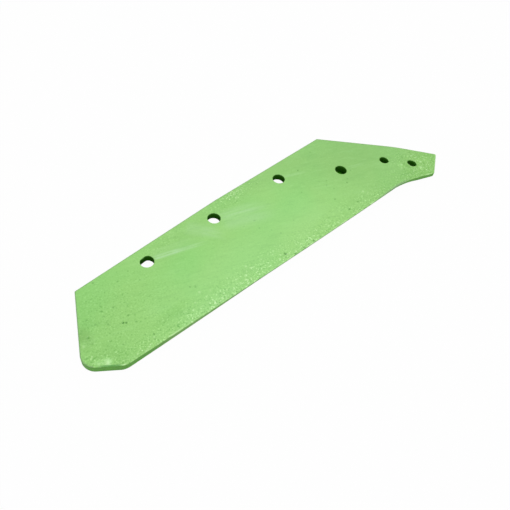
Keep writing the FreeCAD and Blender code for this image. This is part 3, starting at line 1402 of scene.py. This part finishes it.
        # Flecks: small specks that get a painted highlight.
        flecks = grain.rise(0.56, 0.66) * graph.mark(Mark.FLECKS) * (bunched * 1.8 + 0.1)
        hollow = (-spot).clamp() * (speck.rise(0.36, 0.60) * 0.9 + 0.15)
        nib = (graph.mark(Mark.NIB) + spot * 1.8).clamp()
        pit = (graph.mark(Mark.PIT) + hollow * 2.2).clamp()
        low = grain.rise(0.47, 0.28) * (self.texture * 0.36 + pitted * 0.2 + 0.15)
        low = low + speck.rise(0.42, 0.26) * pitted * 0.8
        high = grain.rise(0.54, 0.72) * (self.texture * 0.50 + 0.12)
        # Nibs and flecks are painted in the glint colour, a painted highlight.
        raised = (nib * 0.5 + flecks * 0.75).clamp()
        grained = graph.layers(
            self._film(),
            (low, look.deep),
            (high, look.pale),
            (raised, look.glint),
            (pit * 0.8, look.deep),
            (hollow.clamp(), look.bore),
        )
        return graph.principled({
            "Base Color": self._rims(grained),
            "Roughness": (look.roughness + (grain - 0.5) * 0.25 - self.streaks * 0.05).clamp(),
            "Coat Weight": ((high + raised - low * 1.8 - pit * 0.6 + 1.0) * look.coat).clamp(),
            "Coat Roughness": look.coat_roughness,
            "Normal": self.bump,
        })

    def _wall(self) -> Wire:
        """The outline's walls, worn on the cutting edge's land, with painted shade where the land is thinnest.

        Returns:
            Their shader.
        """
        look = self.look
        land = self.edge_gap.rise(4.0, 2.0)
        colour = self.graph.layers(
            look.cut,
            (self.grain.rise(0.35, 0.65) * 0.45, look.dull),
            (self._stretch(look.thin) * land, look.worn),
            # Painted shade on the land where it is thinnest.
            (self._stretch(look.thinnest) * land * 0.75, look.painted_land_shade),
        )
        dry = {"Base Color": colour, "Roughness": 0.6, "Specular IOR Level": 0.15, "Normal": self.bump}
        return self.graph.principled(dry)


@dataclass(frozen=True)
class PaleFloor:
    """The white ground under the share, with painted shadow where it shows through the nose holes.

    Attributes:
        colour: Its own colour, for the light that it throws back.
        fleck: Colour of its faint flecks.
        shadow_share: How much of the share's shadow the camera sees on it.
        dark: Colour of the painted shadow on the ground that shows through the nose holes.
        dark_radius: Radius of the painted shadows.
        size: Its width.
    """

    colour: Colour = (0.62, 0.62, 0.62)
    fleck: Colour = (0.7, 0.7, 0.7)
    shadow_share: float = 0.02
    dark: Colour = (0.045, 0.330, 0.002)
    dark_radius: float = 9.0 * MM
    size: float = 6.0

    def build(self, painted_shadow_places: Sequence[Vector]) -> None:
        """Lay the floor.

        Args:
            painted_shadow_places: Middles of the painted shadows.
        """
        half = self.size / 2
        mesh = bpy.data.meshes.new("floor")
        corners = [(-half, -half, 0.0), (half, -half, 0.0), (half, half, 0.0), (-half, half, 0.0)]
        mesh.from_pydata(corners, [], [(0, 1, 2, 3)])
        mesh.materials.append(self._material(painted_shadow_places))
        floor = show("floor", mesh)

    def _material(self, painted_shadow_places: Sequence[Vector]) -> bpy.types.Material:
        """The floor's finish: white to the camera, with a little of the shadow, and painted shadow under the nose
        holes.

        Args:
            painted_shadow_places: Middles of the painted shadows.

        Returns:
            The material.
        """
        made = bpy.data.materials.new("pale_floor")
        graph = Graph.fresh(made)
        place = graph.node("ShaderNodeTexCoord", output="Object")
        dark: Number = 0.0
        # Painted shadow: dark discs where the camera looks through the nose holes at the ground under the plate.
        for middle in painted_shadow_places:
            dark = graph.distance(place, tuple(middle)).rise(self.dark_radius, self.dark_radius * 0.8) + dark
        flecks = graph.noise(graph.in_mm(place), 3.0).rise(0.3, 0.7) * 0.02
        ground = graph.layers(self.colour, (flecks, self.fleck), (dark, self.dark))
        seen = graph.node("ShaderNodeLightPath", output="Is Camera Ray")
        rays = (seen + seen.other("Is Glossy Ray") + seen.other("Is Transmission Ray")).clamp()
        share = rays * (1.0 - self.shadow_share) * (1.0 - dark)
        matt = graph.node("ShaderNodeBsdfDiffuse", values={"Color": ground}, output="BSDF")
        white = graph.node("ShaderNodeEmission", values={"Color": WHITE, "Strength": 1.0})
        graph.end("ShaderNodeOutputMaterial", "Surface", graph.blend(share, matt, white))
        return made


@dataclass(frozen=True)
class SoftBox:
    """A broad soft white lamp.

    Attributes:
        name: Its name.
        place: Where it hangs.
        target: What it points at.
        width: Its width and height.
        power: Its power in watts.
    """

    name: str
    place: Tuple[float, float, float]
    target: Tuple[float, float, float]
    width: float
    power: float

    def build(self) -> None:
        """Hang the lamp."""
        light = bpy.data.lights.new(self.name, "AREA")
        light.shape = "RECTANGLE"
        light.size = light.size_y = self.width
        light.energy = self.power
        lamp = show(self.name, light)
        lamp.location = self.place
        aim = Vector(self.target) - Vector(self.place)
        lamp.rotation_euler = aim.to_track_quat("-Z", "Y").to_euler()


@dataclass
class Studio:
    """Camera, lamps, world and floor.

    Attributes:
        eye: Where the camera is.
        turn: The camera's turns about X, Y and Z, in degrees.
        focal_pixels: The lens's focal length, counted in pixels of the picture.
        sensor: Width of the camera's sensor, in millimetres.
        shift: The lens's offset, in pixels.
        clip: The nearest and the furthest that the camera sees.
        world_strength: Brightness of the surroundings, as the share sees them.
        lamps: The soft boxes.
    """

    eye: Tuple[float, float, float] = (-0.30723, -0.18109, 0.40445)
    turn: Tuple[float, float, float] = (37.300, -7.758, -46.272)
    focal_pixels: float = 515.0
    sensor: float = 36.0
    shift: Tuple[float, float] = (0.62, -0.55)
    clip: Tuple[float, float] = (0.01, 50.0)
    world_strength: float = 0.35
    lamps: Sequence[SoftBox] = (
        SoftBox("overhead_box", (-0.38, -0.30, 1.22), (-0.05, 0.0, 0.0), 1.1, 7.4),
        SoftBox("far_box", (0.46, 0.42, 1.05), (-0.05, 0.0, 0.0), 1.5, 8.8),
    )

    def build(self, dark_bores: Sequence[Bore]) -> None:
        """Set up the studio.

        Args:
            dark_bores: The holes through which the ground gets painted shadow.
        """
        self._camera()
        self._world()
        for lamp in self.lamps:
            lamp.build()
        PaleFloor().build([self._seen_through(bore) for bore in dark_bores])
        bpy.context.scene.view_settings.view_transform = "Standard"

    def _seen_through(self, bore: Bore) -> Vector:
        """The point of the ground that the camera sees through a hole."""
        eye = Vector(self.eye)
        return eye + (bore.centre - eye) * (eye.z / (eye.z - bore.centre.z))

    def _camera(self) -> None:
        """Place the camera."""
        data = bpy.data.cameras.new("camera")
        data.sensor_width = self.sensor
        data.lens = self.focal_pixels * self.sensor / IMAGE_WIDTH
        data.shift_x, data.shift_y = (pixels / IMAGE_WIDTH for pixels in self.shift)
        data.clip_start, data.clip_end = self.clip
        camera = show("camera", data)
        camera.location = self.eye
        camera.rotation_euler = [math.radians(angle) for angle in self.turn]
        bpy.context.scene.camera = camera

    def _world(self) -> None:
        """Plain surroundings: soft grey light for the share, white for the camera."""
        world = bpy.data.worlds.new("surroundings")
        graph = Graph.fresh(world)
        seen = graph.node("ShaderNodeLightPath", output="Is Camera Ray")
        strength = self.world_strength + seen * (1.0 - self.world_strength)
        sky = graph.node("ShaderNodeBackground", values={"Color": WHITE, "Strength": strength})
        graph.end("ShaderNodeOutputWorld", "Surface", sky)
        bpy.context.scene.world = world


# Single pits and nibs of the working face: x, y, radius and height in millimetres.
PITS = (
    (-189.3, 13.5, 1.4, -0.75), (-187.4, 11.6, 1.4, -0.65), (-184.1, 63.0, 1.2, -0.30), (-195.9, 34.1, 1.3, -0.35),
    (-186.2, 31.0, 1.3, -0.35), (-193.5, 38.7, 1.1, -0.30), (-197.5, 29.0, 1.0, -0.25), (-180.6, 7.1, 1.2, -0.30),
    (-181.6, 16.5, 1.2, -0.30), (-177.2, -12.3, 1.3, -0.40), (-179.3, -16.3, 1.2, -0.35), (-219.0, 21.0, 1.4, -0.40),
    (-207.8, 6.3, 1.2, -0.30), (-231.1, 6.5, 1.1, -0.30), (-201.8, -2.8, 1.0, -0.25), (-167.2, 50.2, 1.2, -0.30),
    (-176.5, 24.0, 1.1, -0.25), (-118.7, 0.1, 1.6, -0.30), (-122.5, 3.0, 1.2, -0.25), (-155.6, 19.6, 1.0, -0.20),
    (72.0, 39.3, 1.4, -0.35), (107.0, 50.0, 1.1, -0.30), (70.8, -16.3, 1.4, -0.35), (71.6, -35.6, 2.0, -0.42),
    (30.9, -29.5, 1.2, -0.30), (107.0, -5.6, 1.1, -0.25), (-19.4, 19.7, 1.3, -0.30), (-22.6, 9.6, 1.1, -0.25),
    (-26.8, -29.9, 2.2, -0.60), (-18.9, -36.6, 1.7, -0.60), (-6.5, -37.6, 2.0, -0.60), (0.7, -37.8, 1.7, -0.55),
    (8.0, -38.4, 1.9, -0.60), (17.8, -39.9, 1.7, -0.55), (88.0, -35.1, 1.2, -0.35), (169.9, 19.6, 1.8, -0.55),
    (101.9, -9.0, 1.4, -0.35), (87.2, -34.2, 1.2, -0.30), (120.8, 0.3, 1.1, -0.25), (191.1, -25.8, 1.3, -0.30),
    (80.1, 3.4, 1.2, -0.26), (12.6, -6.4, 1.1, -0.25), (-10.7, -9.2, 1.2, -0.25), (-15.2, -0.5, 1.1, -0.24),
    (-33.6, 21.3, 1.2, -0.24), (20.5, 54.7, 1.1, -0.26), (49.6, 14.3, 1.1, -0.22), (77.5, 12.6, 1.1, -0.22),
    (-210.0, 35.6, 1.1, -0.28), (-207.2, 27.5, 1.2, -0.28), (-214.2, 41.3, 1.1, -0.26), (-173.1, 4.0, 1.1, -0.26),
    (-219.9, 13.8, 1.1, -0.26), (-199.4, 20.4, 1.1, -0.28), (-177.1, 13.4, 1.1, -0.28), (85.8, 8.1, 1.1, -0.24),
    (82.7, -5.2, 1.2, -0.26),
)
NIBS = (
    (-226.5, 17.2, 2.2, 0.30), (-226.7, -3.2, 1.6, 0.30), (-221.0, -7.9, 2.2, 0.45), (-220.4, -7.0, 4.2, 0.35),
    (-211.2, -18.2, 1.6, 0.35), (-189.7, -19.3, 1.4, 0.30), (-120.0, -7.0, 2.2, 0.35), (-116.7, -24.2, 1.6, 0.45),
    (-111.2, -11.8, 1.3, 0.30), (-130.5, -12.8, 1.3, 0.30), (-104.6, -22.8, 1.3, 0.35), (-93.9, -25.0, 1.4, 0.35),
    (-77.5, -26.8, 1.8, 0.35), (-23.1, 62.1, 1.8, 0.30), (-19.2, 62.6, 1.5, 0.30), (-7.8, 61.2, 2.2, 0.40),
    (0.4, 58.9, 2.0, 0.35), (-15.0, 61.5, 2.0, 0.35), (-11.5, 63.0, 1.6, 0.30), (-3.6, 60.4, 1.5, 0.30),
    (104.9, -29.5, 2.2, 0.35), (108.3, -34.1, 1.4, 0.30), (49.6, -38.9, 1.4, 0.30), (40.1, -28.8, 1.3, 0.30),
    (12.1, -28.5, 1.4, 0.30), (3.6, -20.1, 1.2, 0.20), (128.4, -43.4, 1.6, 0.40), (90.9, -39.0, 1.5, 0.35),
    (203.7, -32.0, 2.4, 0.45), (205.2, -45.3, 2.4, 0.50), (196.6, -50.7, 2.6, 0.55), (213.4, -45.5, 2.0, 0.45),
    (178.9, -33.5, 2.8, 0.40), (174.5, -37.0, 2.2, 0.35), (197.5, -31.0, 1.8, 0.30), (214.3, -50.2, 1.5, 0.30),
    (190.3, -46.5, 1.6, 0.30), (174.3, -31.6, 1.8, 0.30), (208.9, -30.2, 1.4, 0.30),
)


@dataclass
class PloughShare:
    """The share: a plate with six holes, a set-down nose and a ground cutting edge.

    Attributes:
        node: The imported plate.
        bores: Its holes, by name.
        sharp_angle: Bend from which a crease of the skin is shaded as sharp.
    """

    node: bpy.types.Object
    bores: Dict[str, Bore]
    sharp_angle: float = math.radians(38.0)

    def blemishes(self) -> List[RimBlemish]:
        """List where the holes aren't round.

        Returns:
            A flat on the wing hole, a nick on each point hole, and the squeeze of the last one.
        """
        return [
            RimBlemish("wing_hole", 95.0, 32.0, -1.3 * MM),
            RimBlemish("first_point_hole", -67.0, 17.0, 0.75 * MM),
            RimBlemish("point_hole", -65.0, 17.0, 0.75 * MM),
            RimBlemish("point_hole", 40.0, 40.0, -0.7 * MM),
            RimBlemish("point_hole", 134.0, 40.0, 0.8 * MM),
        ]

    def beside(self, bore: str, right: float, back: float) -> Tuple[float, float]:
        """A point in plan, counted in millimetres from a hole's centre."""
        centre = self.bores[bore].centre
        return centre.x + right * MM, centre.y + back * MM

    def paint_runs(self) -> List[PaintRun]:
        """List the streaks beside the holes of the back edge.

        Returns:
            The streaks.
        """
        return [
            PaintRun(self.beside("wing_hole", 6.0, -1.0), -19.0, 34 * MM, 6.5 * MM, 0.85),
            PaintRun(self.beside("wing_hole", 24.0, -7.0), -20.0, 42 * MM, 5.5 * MM, 0.60),
            PaintRun(self.beside("wing_hole", 8.0, 4.0), -17.0, 60 * MM, 10 * MM, 0.22),
            PaintRun(self.beside("kink_hole", -30.0, 9.0), -52.0, 44 * MM, 18 * MM, 0.30),
            PaintRun(self.beside("kink_hole", -20.0, -4.0), -58.0, 30 * MM, 12 * MM, 0.20),
            PaintRun(self.beside("kink_hole", 5.0, -1.0), -19.0, 64 * MM, 14 * MM, 0.42),
            PaintRun(self.beside("kink_hole", 2.0, -10.0), -22.0, 70 * MM, 26 * MM, 0.42),
            PaintRun(self.beside("kink_hole", 6.0, 3.0), -18.0, 30 * MM, 2.5 * MM, -0.16),
            PaintRun(self.beside("kink_hole", 5.0, -6.0), -22.0, 34 * MM, 2.5 * MM, -0.14),
            PaintRun(self.beside("back_hole", 6.0, -1.0), -22.0, 34 * MM, 4.0 * MM, 0.35),
            PaintRun(self.beside("shin_hole", 8.0, -2.0), -20.0, 30 * MM, 6.0 * MM, 0.16),
        ]

    def skin(self) -> ShareSkin:
        """Lay out the skin, with the places of what the photograph shows on it.

        Returns:
            The skin, not yet built.
        """
        nose = self.beside("point_hole", 0.0, 0.0)
        wing = self.beside("wing_hole", -58.0, -32.0)
        return ShareSkin(
            node=self.node,
            bores=list(self.bores.values()),
            blemishes=self.blemishes(),
            fine_patches=[Patch(nose, 26 * MM, 1.0), Patch(wing, 34 * MM, 1.0)],
            nib_patches=[
                Patch((0.108, -0.024), 85 * MM, -0.85),
                Patch((0.016, -0.030), 30 * MM, -0.20, 1.6),
                Patch((-0.100, -0.010), 12 * MM, -0.24, 5.0),
                Patch((-0.205, -0.020), 75 * MM, -0.55, 1.1),
                Patch((0.215, -0.052), 45 * MM, -0.45),
                Patch(self.beside("point_hole", 8.0, -4.0), 22 * MM, 0.60),
                Patch(self.beside("kink_hole", 36.0, 12.5), 8 * MM, 1.0, 2.6),
            ],
            pit_patches=[Patch(wing, 56 * MM, 0.6, 1.2)],
            # Tone and shading: random tone, painted shade where light falls off towards the ends, painted sheen in the
            # middle, painted highlights at the wing corner.
            tone_and_shading_patches=[
                Patch((-0.235, -0.005), 75 * MM, -0.12),
                Patch((-0.222, -0.012), 22 * MM, -0.30),
                Patch((-0.224, 0.024), 14 * MM, -0.75, 0.8),
                Patch((-0.152, -0.007), 6 * MM, -0.22, 4.5),
                Patch((-0.122, -0.024), 9 * MM, 0.16, 5.0),
                Patch((-0.110, -0.010), 45 * MM, 0.14, 2.0),
                Patch((0.000, -0.022), 48 * MM, 0.20, 3.4),
                Patch((0.010, 0.064), 26 * MM, -0.30, 2.8),
                Patch((0.055, 0.050), 22 * MM, -0.18, 2.0),
                Patch((-0.080, 0.052), 18 * MM, -0.25, 3.2),
                Patch((0.050, -0.036), 16 * MM, -0.18, 3.0),
                Patch((0.140, 0.010), 95 * MM, -0.38, 1.1),
                Patch((0.200, -0.030), 110 * MM, -0.24, 1.2),
                Patch((0.140, 0.055), 75 * MM, -0.24, 1.5),
                Patch((0.177, -0.033), 5 * MM, 0.60),
                Patch((0.198, -0.030), 4 * MM, 0.30, 1.6),
                Patch((0.205, -0.043), 5 * MM, 0.55),
                Patch((0.197, -0.050), 4.5 * MM, 0.55, 1.2),
                Patch((0.214, -0.047), 4 * MM, 0.40),
                Patch((-0.2206, -0.0072), 5.5 * MM, 1.40),
                Patch((-0.2266, -0.0030), 4.0 * MM, 0.80),
                Patch((-0.2260, 0.0172), 4.5 * MM, 0.40),
            ],
            leaf_patches=[
                Patch((-0.106, 0.025), 22 * MM, 0.24, 2.2),
                Patch((0.028, 0.006), 18 * MM, 0.12, 2.0),
            ],
            texture_patches=[
                Patch(wing, 60 * MM, 0.45, 1.1),
                Patch(nose, 40 * MM, 1.5),
                Patch((-0.010, 0.058), 14 * MM, 1.2, 3.4),
                Patch((-0.110, 0.058), 10 * MM, 0.7, 4.0),
            ],
            spots=[Spot.in_mm(*row) for row in (*PITS, *NIBS)],
        )

    def build(self) -> bpy.types.Object:
        """Make the skin, forge it, paint it and hand it over.

        Returns:
            The finished piece.
        """
        finish = GreenEnamel().material(self.paint_runs())
        share = self.skin().build()
        LOG.info("net: %d points", len(share.data.vertices))
        ForgedFace().apply(share, finish)
        share.data.shade_smooth()
        share.data.set_sharp_from_angle(angle=self.sharp_angle)
        share.name = "share_plate"
        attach(share, BODY)
        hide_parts(SHARE_NODE)
        return share


def main() -> None:
    """Build the studio and the share."""
    logging.basicConfig(level=logging.INFO, format="%(name)s: %(message)s")
    mounts = [mount for mount in frame["record"]["mounts"] if mount["kind"] == "bore"]
    bores = {mount["name"]: Bore.from_mount(mount) for mount in mounts}
    Studio().build([bores[name] for name in ("shin_hole", "first_point_hole", "point_hole")])
    share = PloughShare(frame["nodes"][SHARE_NODE], bores).build()
    LOG.info("%s: %d faces", share.name, len(share.data.polygons))


if __name__ == "__main__":
    main()
